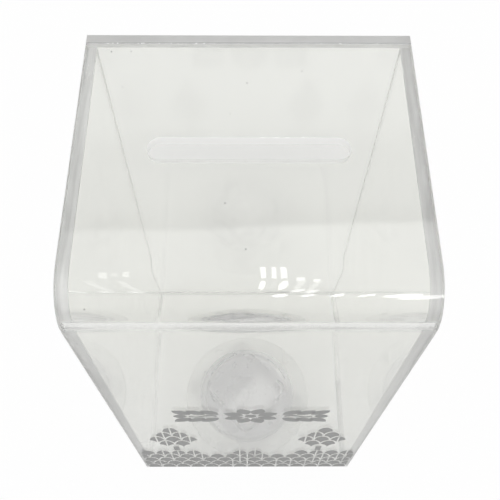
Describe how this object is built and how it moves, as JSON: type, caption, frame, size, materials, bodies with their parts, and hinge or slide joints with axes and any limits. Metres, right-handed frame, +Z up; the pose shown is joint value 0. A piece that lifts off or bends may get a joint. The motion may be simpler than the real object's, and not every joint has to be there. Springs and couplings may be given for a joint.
{
  "type": "collection box",
  "caption": "Tall clear acrylic charity coin box with a bent front-and-top sheet, a coin slot and a pull-out stopper in its raised base.",
  "frame": {"origin": "middle of the box's footprint, on the surface that it stands on", "axes": "+Z up, the printed front faces -Y, +X to the right seen from the front"},
  "size_m": [0.08, 0.074, 0.16],
  "materials": {
    "clear_acrylic": "clear cast acrylic sheet, polished faces, fine saw-cut edges, clear solvent joints with small bubbles",
    "frosted_soft_plastic": "soft moulded plastic, milky and translucent, satin"
  },
  "bodies": {
    "box": {"front_top_sheet": "clear_acrylic", "back_panel": "clear_acrylic", "left_side_panel": "clear_acrylic", "right_side_panel": "clear_acrylic", "base_panel": "clear_acrylic"},
    "stopper": {"stopper": "frosted_soft_plastic"}
  },
  "joints": [
    {"name": "stopper_pull", "type": "slide", "parent": "box", "child": "stopper", "axis": [0, 0, -1], "range_m": [0, 0.03]}
  ]
}
